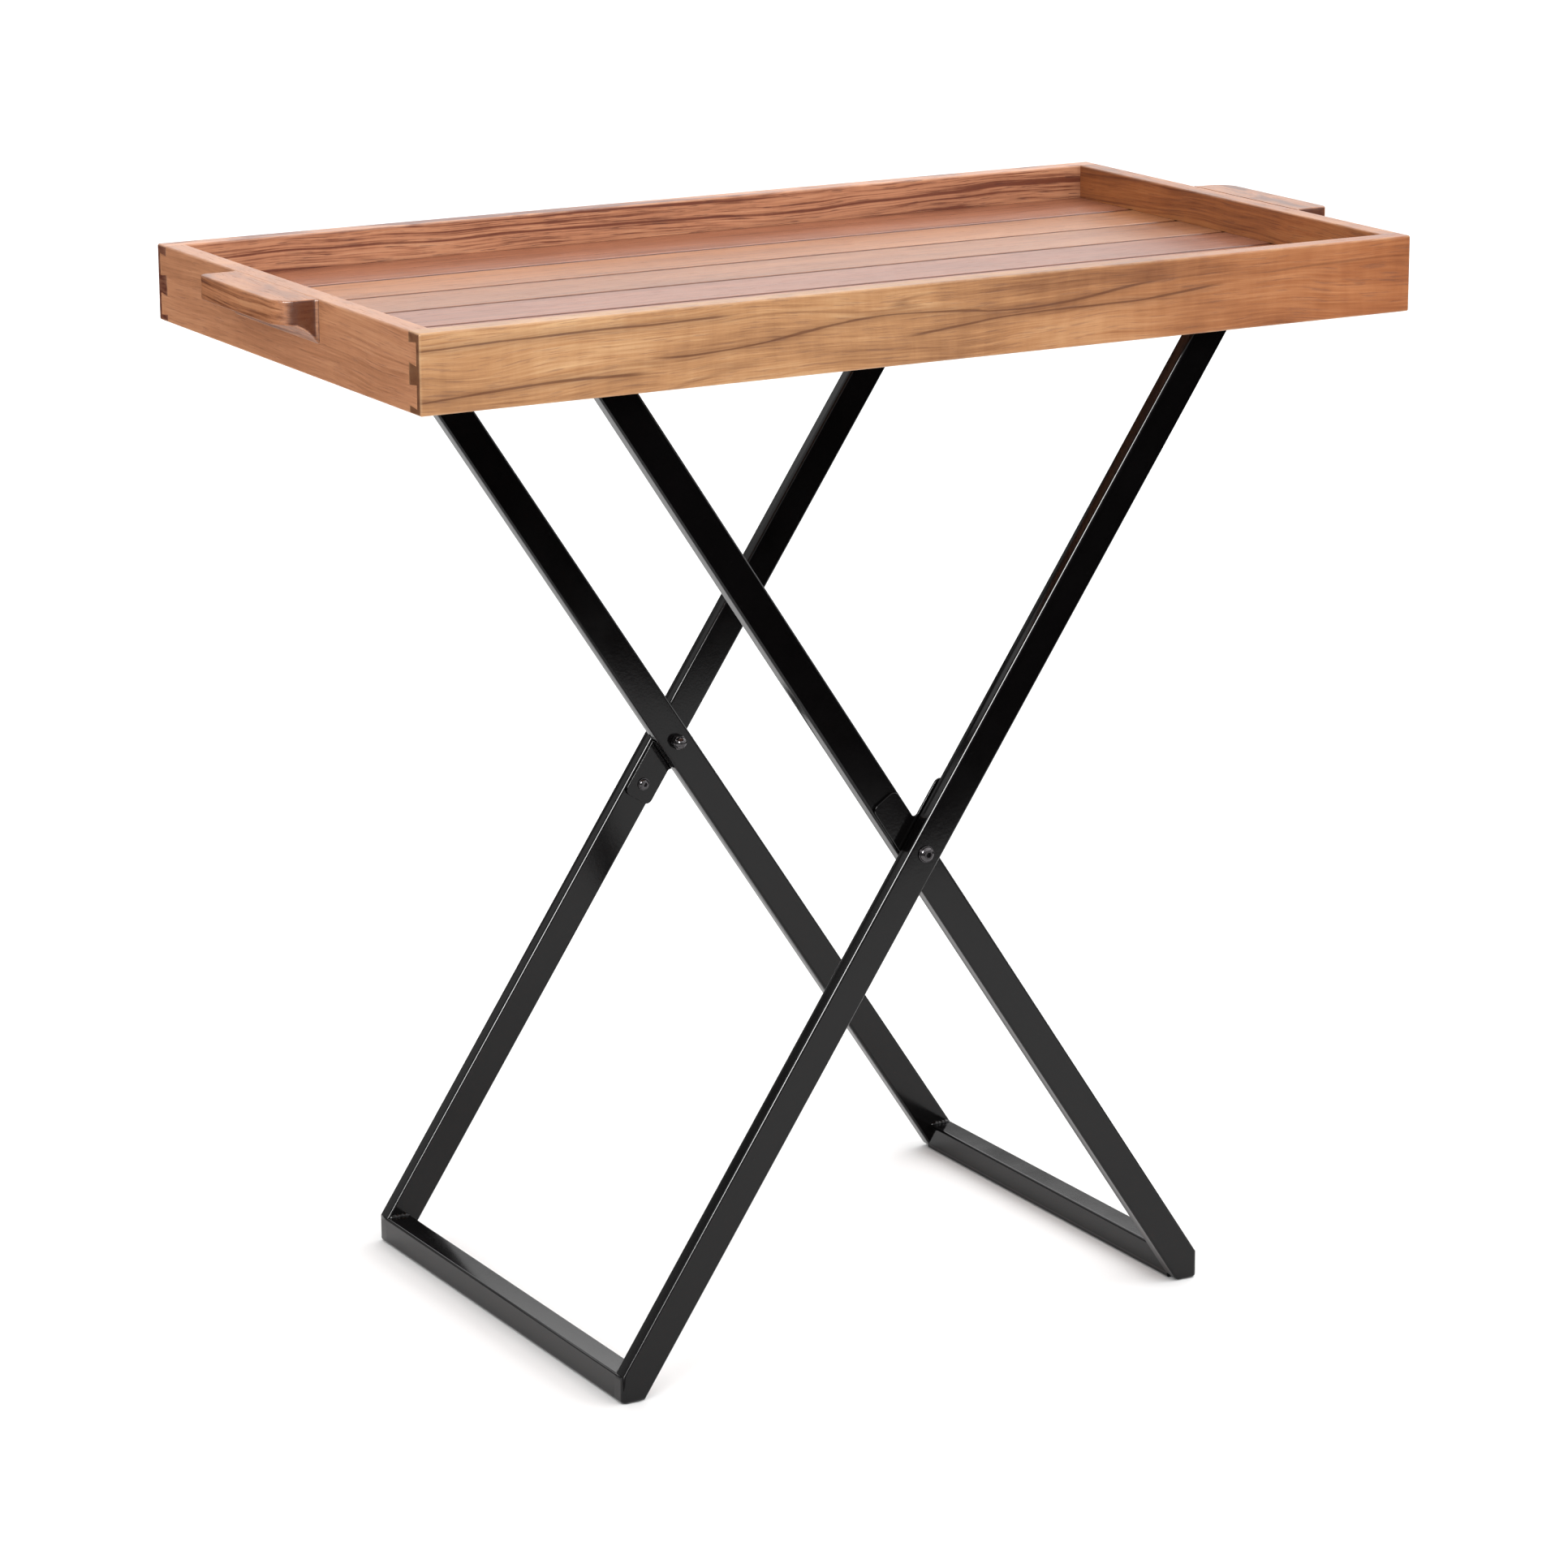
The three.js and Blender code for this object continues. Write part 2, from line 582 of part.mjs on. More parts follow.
const nut = makeNut();
const plate = makePlate();
addPart("pivot_bolt_front", flip(bolt, "y"), BLACK_STEEL);
addPart("pivot_bolt_back", bolt, BLACK_STEEL);
addPart("pivot_nut_front", flip(nut, "y"), BLACK_STEEL);
addPart("pivot_nut_back", nut, BLACK_STEEL);
addPart("stop_plate_front", throughPivot(plate), BLACK_PAINT);
addPart("stop_plate_back", plate, BLACK_PAINT);
addPart("stop_screw_front", throughPivot(plateScrew), BLACK_STEEL);
addPart("stop_screw_back", plateScrew, BLACK_STEEL);

export default group;
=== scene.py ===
"""Folding tray table: the looks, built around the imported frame. Metres, +Z up, X along the tray."""
import json
import math

import bmesh
import bpy
from mathutils import Matrix, Vector


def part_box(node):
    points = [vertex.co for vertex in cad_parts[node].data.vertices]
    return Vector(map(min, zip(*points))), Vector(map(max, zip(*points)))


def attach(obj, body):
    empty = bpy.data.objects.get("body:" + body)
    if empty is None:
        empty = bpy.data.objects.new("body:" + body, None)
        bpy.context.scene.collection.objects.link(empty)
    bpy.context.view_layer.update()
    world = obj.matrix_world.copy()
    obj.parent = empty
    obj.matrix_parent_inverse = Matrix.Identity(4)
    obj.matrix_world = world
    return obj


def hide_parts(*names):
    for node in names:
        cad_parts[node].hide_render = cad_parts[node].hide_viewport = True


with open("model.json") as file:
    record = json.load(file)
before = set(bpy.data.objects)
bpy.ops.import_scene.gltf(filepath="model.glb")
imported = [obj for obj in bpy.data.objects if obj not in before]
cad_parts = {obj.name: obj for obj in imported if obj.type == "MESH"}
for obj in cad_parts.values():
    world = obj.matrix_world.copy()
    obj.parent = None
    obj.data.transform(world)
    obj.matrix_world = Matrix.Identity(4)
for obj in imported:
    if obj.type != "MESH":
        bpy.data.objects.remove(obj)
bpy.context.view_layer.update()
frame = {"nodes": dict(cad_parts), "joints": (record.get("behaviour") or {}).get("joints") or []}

MM = 0.001
NODES = frame["nodes"]

# ---------------------------------------------------------------- sizes, from the frame
wall_low, wall_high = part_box("front_wall")
HALF_L = wall_high.x
HALF_D = -wall_low.y
RIM = wall_high.z
WALL_BOTTOM = wall_low.z
WALL = wall_high.y - wall_low.y
INNER_L = HALF_L - WALL
INNER_D = HALF_D - WALL
slat_low, slat_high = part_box("slat_3")
FLOOR_TOP = slat_high.z
FLOOR_UNDER = slat_low.z
outer_low, outer_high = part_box("outer_leg_back")
inner_low, inner_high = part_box("inner_leg_back")
PIVOT = Vector(next(j["pos_m"] for j in frame["joints"] if j["name"] == "stand_fold"))

# sizes that the frame's boxes don't give
LEG_WIDTH = 20 * MM
LEG_RUN = 193 * MM
BAR = 16 * MM
TUBE_ROUND = 1.5 * MM
CORNER_ROUND = 3 * MM
END_ROUND = 2 * MM
LEG_END_ROUND = 6 * MM
BOLT_HOLE = 2.56 * MM
ARRIS = 1.2 * MM
SLAT_ARRIS = 1.8 * MM
GROOVE_GAP = 0.5 * MM
GROOVE_DEEP = 3.2 * MM
GROOVE = 4 * MM
JOINT_LINE = 0.06 * MM
TAIL_LENGTH = 8.7 * MM
TAIL_FLARE = 1.0 * MM
TAILS = [(4.4 * MM, 15.1 * MM), (26.9 * MM, 37.5 * MM)]
HANDLE_THICK = 13.8 * MM
HANDLE_ROOT = 24.2 * MM
HANDLE_COVE = 12.5 * MM
HANDLE_CORNER = 13 * MM
HANDLE_SMALL_CORNER = 4.5 * MM
HANDLE_FLARE = 1.6 * MM
HANDLE_VOXEL = 0.6 * MM
BEAD_RADIUS = 1.9 * MM
HEAD_HEIGHT = 2.9 * MM
BOLT_SHANK = 2.5 * MM
BOLT_SOCKET = 3 * MM
BOLT_FLANGE = 0.7 * MM
NUT_ACROSS = 8 * MM
NUT_HEIGHT = 4.2 * MM
NUT_DOME = 3.6 * MM
STOP_HEAD = 3.8 * MM
STOP_HEIGHT = 2.2 * MM
STOP_SHANK = 2 * MM
STOP_SOCKET = 2.5 * MM
STOP_FLANGE = 0.5 * MM

# how fast the wood's figure changes, per metre: along the fibres, then across them
GROWTH = (2.6, 460)
DASHES = (30, 760)
FIBRE = (22, 900)
COARSE = (8, 200)
DEPTH_RATIO = 6  # fine figures change this much slower through the board
DRIFT = (5, 13, 13)
PATCH = (6, 30, 30)
RIPPLE = (130, 26, 26)
VEIN = (1.6, 17, 17)
PORE = (60, 1300, 1300)
SWAY = 24 * MM  # how far the drift bends the fibres
SWAY_IN_DEPTH = 2 * MM
WARM_TINT = (0.76, 0.49, 0.35, 1)
DEEP_TINT = (0.5, 0.36, 0.34)

# the studio: radiances of the dome, of the sweep above the horizon and of the dark gap over it, then
# the gap's edges as sines of their elevation, and the two floors' sizes in metres
DOME_BRIGHT = 2.6
DOME_DIM = 0.7
SWEEP = 0.6
GAP = 0.12
GAP_LOW = 0.285
GAP_HIGH = 0.338
GAP_BLUR = 0.025
NEAR_FLOOR = 1.2
NEAR_TOP = -0.0002
FAR_FLOOR = 400
FAR_TOP = -0.0012
FLOOR_THICK = 0.02


# ---------------------------------------------------------------- mesh helpers
def make_object(name, bm):
    bmesh.ops.recalc_face_normals(bm, faces=bm.faces)
    mesh = bpy.data.meshes.new(name)
    bm.to_mesh(mesh)
    bm.free()
    obj = bpy.data.objects.new(name, mesh)
    bpy.context.scene.collection.objects.link(obj)
    return obj


def prism(name, outline, axis, low, high):
    """Outline in the other two axes' order (Y,Z), (X,Z) or (X,Y), extruded along an axis."""
    def place(a, b, c):
        return {"x": (c, a, b), "y": (a, c, b), "z": (a, b, c)}[axis]

    bm = bmesh.new()
    bottom = [bm.verts.new(place(a, b, low)) for a, b in outline]
    top = [bm.verts.new(place(a, b, high)) for a, b in outline]
    bm.faces.new(bottom)
    bm.faces.new(top)
    count = len(outline)
    for i in range(count):
        j = (i + 1) % count
        bm.faces.new((bottom[i], bottom[j], top[j], top[i]))
    return make_object(name, bm)


def box(name, low, high):
    outline = [(low[0], low[1]), (high[0], low[1]), (high[0], high[1]), (low[0], high[1])]
    return prism(name, outline, "z", low[2], high[2])


def lathe(name, profile, segments=64):
    """Profile of (radius, height) from the axis back to the axis, turned about +Y."""
    bm = bmesh.new()
    rings = []
    for radius, height in profile:
        if radius == 0:
            rings.append([bm.verts.new((0, height, 0))])
            continue
        ring = []
        for k in range(segments):
            angle = 2 * math.pi * k / segments
            ring.append(bm.verts.new((radius * math.cos(angle), height, radius * math.sin(angle))))
        rings.append(ring)
    for one, two in zip(rings, rings[1:]):
        for k in range(segments):
            j = (k + 1) % segments
            if len(one) == 1:
                bm.faces.new((one[0], two[k], two[j]))
            elif len(two) == 1:
                bm.faces.new((one[k], two[0], one[j]))
            else:
                bm.faces.new((one[k], two[k], two[j], one[j]))
    return make_object(name, bm)


def bake_modifiers(obj):
    graph = bpy.context.evaluated_depsgraph_get()
    mesh = bpy.data.meshes.new_from_object(obj.evaluated_get(graph))
    obj.modifiers.clear()
    old = obj.data
    obj.data = mesh
    bpy.data.meshes.remove(old)
    return obj


def boolean(obj, other, operation):
    modifier = obj.modifiers.new("cut", "BOOLEAN")
    modifier.operation = operation
    modifier.solver = "EXACT"
    modifier.object = other
    bpy.context.view_layer.update()
    bake_modifiers(obj)
    mesh = other.data
    bpy.data.objects.remove(other)
    bpy.data.meshes.remove(mesh)
    return obj


def clean(obj):
    """Merges coincident points and flat neighbours that booleans leave behind."""
    bm = bmesh.new()
    bm.from_mesh(obj.data)
    bmesh.ops.remove_doubles(bm, verts=bm.verts, dist=0.003 * MM)
    bmesh.ops.dissolve_limit(bm, angle_limit=math.radians(0.5), verts=bm.verts, edges=bm.edges)
    bm.to_mesh(obj.data)
    bm.free()
    return obj


def bevel(obj, width, segments=4, angle=30):
    modifier = obj.modifiers.new("edges", "BEVEL")
    modifier.width = width
    modifier.segments = segments
    modifier.limit_method = "ANGLE"
    modifier.angle_limit = math.radians(angle)
    modifier.use_clamp_overlap = False
    bpy.context.view_layer.update()
    return bake_modifiers(obj)


def smooth(obj):
    for face in obj.data.polygons:
        face.use_smooth = True
    obj.data.set_sharp_from_angle(angle=math.radians(42))
    modifier = obj.modifiers.new("normals", "WEIGHTED_NORMAL")
    modifier.keep_sharp = True
    return obj


def mirrored(obj, name, matrix):
    """A copy of an object's mesh, mapped through a matrix."""
    bm = bmesh.new()
    bm.from_mesh(obj.data)
    bmesh.ops.transform(bm, matrix=matrix, verts=bm.verts)
    return make_object(name, bm)


FLIP_X = Matrix.Diagonal((-1, 1, 1, 1))
FLIP_Y = Matrix.Diagonal((1, -1, 1, 1))
THROUGH_PIVOT = Matrix.Translation(PIVOT * 2) @ Matrix.Diagonal((-1, -1, -1, 1))


def rounded(corners, steps=8):
    """Outline of (a, b, radius) corners with each corner turned into an arc."""
    outline = []
    for i, (a, b, radius) in enumerate(corners):
        if not radius:
            outline.append((a, b))
            continue
        corner = Vector((a, b))
        back = (Vector(corners[i - 1][:2]) - corner).normalized()
        ahead = (Vector(corners[(i + 1) % len(corners)][:2]) - corner).normalized()
        half = math.acos(max(-1, min(1, back.dot(ahead)))) / 2
        centre = corner + (back + ahead).normalized() * (radius / math.sin(half))
        start = corner + back * (radius / math.tan(half)) - centre
        end = corner + ahead * (radius / math.tan(half)) - centre
        first = math.atan2(start.y, start.x)
        sweep = math.atan2(end.y, end.x) - first
        sweep = (sweep + math.pi) % (2 * math.pi) - math.pi
        for k in range(steps + 1):
            turn = first + sweep * k / steps
            outline.append((centre.x + radius * math.cos(turn), centre.y + radius * math.sin(turn)))
    return outline


# ---------------------------------------------------------------- material helpers
class Tree:
    """Short way to add nodes to a material: a value is a socket, a number or a colour."""

    def __init__(self, holder):
        self.holder = holder
        holder.use_nodes = True
        self.tree = holder.node_tree
        self.tree.nodes.clear()

    def add(self, kind, values=None, **settings):
        node = self.tree.nodes.new(kind)
        for key, value in settings.items():
            setattr(node, key, value)
        for key, value in (values or {}).items():
            if isinstance(value, bpy.types.NodeSocket):
                self.tree.links.new(value, node.inputs[key])
            else:
                node.inputs[key].default_value = value
        return node

    def math(self, operation, a, b=0.0, c=0.0, clamp=False):
        node = self.add("ShaderNodeMath", {0: a, 1: b, 2: c}, operation=operation, use_clamp=clamp)
        return node.outputs[0]

    def noise(self, vector, scale, detail=3.0, roughness=0.55):
        values = {"Vector": vector, "Scale": scale, "Detail": detail, "Roughness": roughness}
        return self.add("ShaderNodeTexNoise", values).outputs["Fac"]

    def stretch(self, vector, scale):
        return self.add("ShaderNodeMapping", {"Vector": vector, "Scale": scale}).outputs[0]

    def swing(self, value, amount, base=0.0):
        """A noise around one half, turned into base plus or minus about a third of amount."""
        return self.math("MULTIPLY_ADD", self.math("SUBTRACT", value, 0.5), amount * 2.4, base)

    def band(self, value, low, high):
        """0 below low, 1 above high, smooth between them."""
        values = {"Value": value, "From Min": low, "From Max": high}
        node = self.add("ShaderNodeMapRange", values, interpolation_type="SMOOTHSTEP")
        return node.outputs["Result"]

    def mix(self, factor, a, b, blend="MIX"):
        node = self.add("ShaderNodeMix", data_type="RGBA", blend_type=blend)
        for key, value in ((0, factor), (6, a), (7, b)):
            if isinstance(value, bpy.types.NodeSocket):
                self.tree.links.new(value, node.inputs[key])
            else:
                node.inputs[key].default_value = value
        return node.outputs[2]

    def finish(self, values):
        shader = self.add("ShaderNodeBsdfPrincipled", values)
        output = self.add("ShaderNodeOutputMaterial")
        self.tree.links.new(shader.outputs[0], output.inputs[0])
        return self.holder


def colour(red, green, blue):
    """Display colour, 0 to 255, as a linear RGBA value."""
    return tuple((value / 255) ** 2.2 for value in (red, green, blue)) + (1.0,)


def edge_distance(tree, point, low, high):
    """Distance to the nearest edge of a box, for a point on its surface: the middle one of three."""
    split = tree.add("ShaderNodeSeparateXYZ", {0: point}).outputs
    away = []
    for k in range(3):
        centre = (low[k] + high[k]) / 2
        half = (high[k] - low[k]) / 2
        off = tree.math("ABSOLUTE", tree.math("SUBTRACT", split[k], centre))
        away.append(tree.math("SUBTRACT", half, off))
    small = tree.math("MINIMUM", away[0], away[1])
    large = tree.math("MAXIMUM", away[0], away[1])
    return tree.math("MAXIMUM", small, tree.math("MINIMUM", large, away[2]))


def wood(
    name, grain, tones, seed, low, high, cloud=0.7, stripe=0.2, ripple=0.06, vein=0.3, pores=0.3,
    gloss=0.34, end=0.5, warm=0.0, relief=0.35, depth=1, painted_groove_shade=False, lines=(),
):
    """Oiled wood. grain is the axis of the fibres, and tones are dark, middle and light. cloud, stripe,
    ripple, vein and pores say how strongly each figure shows. warm reddens the +X end, relief is how
    much the grain stands out, and depth is the axis through the board once the fibres run along
    axis 0: 1 for a wall and 2 for a slat. The groove flag darkens the sides of the grooves between
    slats with painted shade. lines are single dark streaks on a face seen from the front:
    (height, slope, wave, length, phase, start, stop)."""
    t = Tree(bpy.data.materials.new(name))
    source = t.add("ShaderNodeTexCoord").outputs
    place = source["Object"]
    turn = (0, 0, math.radians(-90)) if grain == "Y" else (0, 0, 0)
    shift = (seed * 1.71, seed * 0.93, seed * 2.37)
    turned = {"Vector": place, "Rotation": turn, "Location": shift}
    along = t.add("ShaderNodeMapping", turned).outputs[0]

    # slow drift of the fibres
    slow = {"Vector": t.stretch(along, DRIFT), "Scale": 1.0, "Detail": 2.0}
    drift = t.add("ShaderNodeTexNoise", slow).outputs["Color"]
    centred = t.add("ShaderNodeVectorMath", {0: drift, 1: (0.5,) * 3}, operation="SUBTRACT")
    sway = [SWAY, SWAY, SWAY]
    sway[depth] = SWAY_IN_DEPTH
    bent = t.add("ShaderNodeVectorMath", {0: centred.outputs[0], 1: sway}, operation="MULTIPLY")
    warped = t.add("ShaderNodeVectorMath", {0: along, 1: bent.outputs[0]}).outputs[0]

    def fine(figure):
        scale = [figure[0], figure[1], figure[1]]
        scale[depth] = figure[1] / DEPTH_RATIO
        return t.stretch(warped, scale)

    # growth lines, fibres, broad clouds and the ripple across the grain
    growth = t.noise(fine(GROWTH), 1.0, 2.0, 0.5)
    dashes = t.noise(fine(DASHES), 1.0, 1.0, 0.5)
    fibre = t.noise(fine(FIBRE), 1.0, 4.0, 0.6)
    coarse = t.noise(fine(COARSE), 1.0, 3.0, 0.55)
    patch = t.noise(t.stretch(warped, PATCH), 1.0, 3.0, 0.55)
    cross = t.noise(t.stretch(warped, RIPPLE), 1.0, 3.0, 0.65)
    tone = t.swing(patch, cloud, 0.5)
    tone = t.math("ADD", tone, t.swing(coarse, 0.15))
    tone = t.math("ADD", tone, t.swing(fibre, 0.32))
    tone = t.math("ADD", tone, t.swing(cross, ripple))
    lined = t.math("MULTIPLY_ADD", t.band(dashes, 0.52, 0.70), 0.55, t.band(growth, 0.47, 0.68))
    tone = t.math("SUBTRACT", tone, t.math("MULTIPLY", lined, stripe))
    ramp = t.add("ShaderNodeValToRGB", {0: tone})
    stops = ramp.color_ramp.elements
    stops[0].position = 0.1
    stops[0].color = tones[0]
    stops[1].position = 0.9
    stops[1].color = tones[2]
    stops.new(0.5).color = tones[1]
    shade = ramp.outputs[0]
    split = t.add("ShaderNodeSeparateXYZ", {0: place}).outputs
    if warm:
        reddened = t.mix(1.0, shade, WARM_TINT, "MULTIPLY")
        shade = t.mix(t.math("MULTIPLY", t.band(split[0], -0.06, 0.31), warm), shade, reddened)

    # contour streaks that follow the drift, single dark streaks and pores
    vein_field = t.noise(t.stretch(warped, VEIN), 1.0, 3.0, 0.5)
    contour = t.math("ABSOLUTE", t.math("SUBTRACT", vein_field, 0.55))
    contour = t.math("SUBTRACT", 1.0, t.band(contour, 0.0, 0.012))
    contour = t.math("MULTIPLY", contour, t.band(patch, 0.42, 0.62))
    mark = t.math("MULTIPLY", contour, vein)
    for height, slope, wave, length, phase, start, stop in lines:
        angle = t.math("MULTIPLY_ADD", split[0], 2 * math.pi / length, phase)
        level = t.math("MULTIPLY_ADD", t.math("SINE", angle), wave, height)
        level = t.math("MULTIPLY_ADD", split[0], slope, level)
        level = t.math("ADD", level, t.swing(patch, 2.4 * MM))
        level = t.math("ADD", level, t.swing(coarse, 0.6 * MM))
        off = t.math("ABSOLUTE", t.math("SUBTRACT", split[2], level))
        width = t.math("MULTIPLY_ADD", coarse, 2.6 * MM, -0.35 * MM)
        thin = t.math("SUBTRACT", 1.0, t.band(t.math("DIVIDE", off, width), 0.35, 1.1))
        halo = t.math("SUBTRACT", 1.0, t.band(off, 0.0, 5 * MM))
        streak = t.math("MAXIMUM", t.math("MULTIPLY", thin, 0.9), t.math("MULTIPLY", halo, 0.34))
        fade = 22 * MM
        leave = t.math("SUBTRACT", 1.0, t.band(split[0], stop - fade, stop))
        inside = t.math("MULTIPLY", t.band(split[0], start, start + fade), leave)
        mark = t.math("MAXIMUM", mark, t.math("MULTIPLY", streak, inside))
    deep = tuple(value * tint for value, tint in zip(tones[0], DEEP_TINT)) + (1.0,)
    pore = t.band(t.noise(t.stretch(warped, PORE), 1.0, 2.0, 0.5), 0.585, 0.68)
    shade = t.mix(t.math("MULTIPLY", mark, 0.85), shade, deep)
    shade = t.mix(t.math("MULTIPLY", pore, pores), shade, deep)

    # painted shade: the slat groove sides below the top are darkened as if in the gap's shadow
    if painted_groove_shade:
        groove_shade_mask = t.math("SUBTRACT", 1.0, t.band(split[2], high.z - 0.42 * MM, high.z - 0.12 * MM))
        groove_shade_mask = t.math("MULTIPLY", groove_shade_mask, t.band(split[2], high.z - 3.4 * MM, high.z - 3 * MM))
        shade = t.mix(t.math("MULTIPLY", groove_shade_mask, 0.97), shade, deep)

    # end grain is darker; arrises are lighter, partly as wear and partly as a painted highlight
    normal = t.add("ShaderNodeSeparateXYZ", {0: source["Normal"]}).outputs
    facing = t.band(t.math("ABSOLUTE", normal["XYZ".index(grain)]), 0.75, 0.95)
    shade = t.mix(t.math("MULTIPLY", facing, end), shade, deep)
    near = t.math("SUBTRACT", 1.0, t.band(edge_distance(t, place, low, high), 0.1 * MM, 1.7 * MM))
    wear_and_highlight = t.math("MULTIPLY", near, t.band(t.noise(place, 90.0, 3.0), 0.25, 0.75))
    shade = t.mix(t.math("MULTIPLY", wear_and_highlight, 0.4), shade, tones[2])

    rough = t.math("MULTIPLY_ADD", fibre, 0.16, gloss - 0.08)
    rough = t.math("MULTIPLY_ADD", pore, 0.15, rough)
    depth = t.math("MULTIPLY_ADD", pore, -0.7, fibre)
    bump = t.add("ShaderNodeBump", {"Height": depth, "Strength": relief, "Distance": 0.08 * MM})
    return t.finish({"Base Color": shade, "Roughness": rough, "Normal": bump.outputs[0]})


def paint(name, tone, gloss, peel=0.05):
    """Black powder coat: fine orange peel, faint dust and small specks."""
    t = Tree(bpy.data.materials.new(name))
    place = t.add("ShaderNodeTexCoord").outputs["Object"]
    skin = t.noise(place, 620.0, 3.0, 0.5)
    cloud = t.noise(place, 22.0, 4.0, 0.6)
    speck = t.band(t.noise(place, 900.0, 1.0), 0.76, 0.82)
    light = tuple(value * 2 + 0.001 for value in tone[:3]) + (1.0,)
    shade = t.mix(t.math("MULTIPLY", cloud, 0.5), tone, light)
    shade = t.mix(t.math("MULTIPLY", speck, 0.2), shade, (0.05, 0.05, 0.05, 1))
    rough = t.math("MULTIPLY_ADD", cloud, 0.12, gloss - 0.06)
    bump = t.add("ShaderNodeBump", {"Height": skin, "Strength": peel, "Distance": 0.25 * MM})
    values = {"Base Color": shade, "Roughness": rough, "Normal": bump.outputs[0]}
    values["Specular IOR Level"] = 0.28
    return t.finish(values)


def steel(name, tone, gloss, metallic=1.0):
    """Plated or blackened steel with fine handling marks."""
    t = Tree(bpy.data.materials.new(name))
    place = t.add("ShaderNodeTexCoord").outputs["Object"]
    marks = t.noise(t.stretch(place, (2200, 2200, 500)), 1.0, 2.0)
    cloud = t.noise(place, 260.0, 3.0)
    light = tuple(min(1.0, value * 1.7) for value in tone[:3]) + (1.0,)
    shade = t.mix(cloud, tone, light)
    rough = t.math("MULTIPLY_ADD", marks, 0.14, gloss - 0.05)
    bump = t.add("ShaderNodeBump", {"Height": marks, "Strength": 0.08, "Distance": 0.05 * MM})
    values = {"Base Color": shade, "Roughness": rough, "Metallic": metallic, "Normal": bump.outputs[0]}
    return t.finish(values)


def dress(obj, material):
    obj.data.materials.clear()
    obj.data.materials.append(material)


def place_piece(obj, body, slot, material, *nodes):
    dress(obj, material)
    smooth(obj)
    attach(obj, body)
    if nodes:
        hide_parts(*nodes)
    return obj


# ---------------------------------------------------------------- tray walls
def make_rim():
    """All four walls as one ring with eased edges, and the groove for the floor."""
    bm = bmesh.new()
    corners = [(-1, -1), (1, -1), (1, 1), (-1, 1)]

    def ring(half_x, half_y, z):
        return [bm.verts.new((sx * half_x, sy * half_y, z)) for sx, sy in corners]

    outer = [ring(HALF_L, HALF_D, z) for z in (WALL_BOTTOM, RIM)]
    inner = [ring(INNER_L, INNER_D, z) for z in (WALL_BOTTOM, RIM)]
    for i in range(4):
        j = (i + 1) % 4
        bm.faces.new((outer[0][i], outer[0][j], outer[1][j], outer[1][i]))
        bm.faces.new((inner[0][i], inner[0][j], inner[1][j], inner[1][i]))
        bm.faces.new((outer[1][i], outer[1][j], inner[1][j], inner[1][i]))
        bm.faces.new((outer[0][i], outer[0][j], inner[0][j], inner[0][i]))
    bmesh.ops.recalc_face_normals(bm, faces=bm.faces)
    eased = []
    for edge in bm.edges:
        one, two = (v.co for v in edge.verts)
        along = two - one
        upright = abs(along.z) > 1e-6
        diagonal = abs(along.x) > 1e-6 and abs(along.y) > 1e-6
        at_outer_corner = abs(abs(one.x) - HALF_L) < 1e-6
        if diagonal or (upright and not at_outer_corner):
            continue
        eased.append(edge)
    bmesh.ops.bevel(
        bm, geom=eased, offset=ARRIS, offset_type="OFFSET", segments=4, profile=0.5,
        affect="EDGES", clamp_overlap=False,
    )
    rim = make_object("rim", bm)
    low = (-INNER_L - GROOVE, -INNER_D - GROOVE, FLOOR_UNDER - 0.1 * MM)
    high = (INNER_L + GROOVE, INNER_D + GROOVE, FLOOR_TOP + 0.1 * MM)
    return boolean(rim, box("groove", low, high), "DIFFERENCE")


def tail_outline(tail, grow):
    """One tail at the +Y corner in (Y, Z), grown by the joint line."""
    root = INNER_D - (1 * MM if grow == 0 else 2 * MM)
    tip = INNER_D + TAIL_LENGTH + grow
    points = []
    for y in (root, tip):
        flare = TAIL_FLARE * (y - INNER_D) / TAIL_LENGTH
        points.append((y, WALL_BOTTOM + tail[0] - grow - flare, WALL_BOTTOM + tail[1] + grow + flare))
    (a, a_low, a_high), (b, b_low, b_high) = points
    return [(a, a_low), (b, b_low), (b, b_high), (a, a_high)]


def wall_region(kind):
    """The space that the +Y long wall or the +X end wall takes."""
    if kind == "long":
        region = box("region", (-1, INNER_D, 0), (1, 1, 1))
        for tail in TAILS:
            for sign in (-1, 1):
                low, high = sorted((sign * (INNER_L - JOINT_LINE), sign * 2))
                socket = prism("socket", tail_outline(tail, JOINT_LINE), "x", low, high)
                boolean(region, socket, "DIFFERENCE")
        return region
    reach = INNER_D - JOINT_LINE
    region = box("region", (INNER_L - 1 * MM, -reach, 0), (1, reach, 1))
    for tail in TAILS:
        for sign in (-1, 1):
            outline = [(sign * y, z) for y, z in tail_outline(tail, 0)]
            boolean(region, prism("tail", outline, "x", INNER_L, 0.9), "UNION")
    return region


def make_wall(name, kind, flip):
    wall = make_rim()
    wall.name = name + "_board"
    region = wall_region(kind)
    if flip:
        turned = mirrored(region, "region_flipped", FLIP_X if kind == "end" else FLIP_Y)
        bpy.data.objects.remove(region)
        region = turned
    boolean(wall, region, "INTERSECT")
    return clean(wall)


LONG_TONES = (colour(122, 80, 52), colour(174, 126, 84), colour(206, 163, 118))
END_TONES = (colour(140, 90, 60), colour(178, 121, 86), colour(202, 148, 109))
BACK_TONES = (colour(116, 66, 48), colour(194, 136, 102), colour(220, 170, 134))
RIGHT_TONES = (colour(104, 58, 34), colour(160, 98, 56), colour(188, 128, 78))

# long dark streaks on the front wall: height, slope, wave, wave length, phase, start, stop
FRONT_LINES = (
    (0.6105, 0.022, 0.6 * MM, 0.30, 1.0, -0.330, -0.120),
    (0.5967, 0.035, 3.2 * MM, 0.21, 2.77, -0.185, 0.150),
    (0.5888, 0.043, 1.5 * MM, 0.16, -0.4, -0.030, 0.190),
    (0.5830, 0.016, 2.0 * MM, 0.30, 0.2, -0.330, -0.170),
)

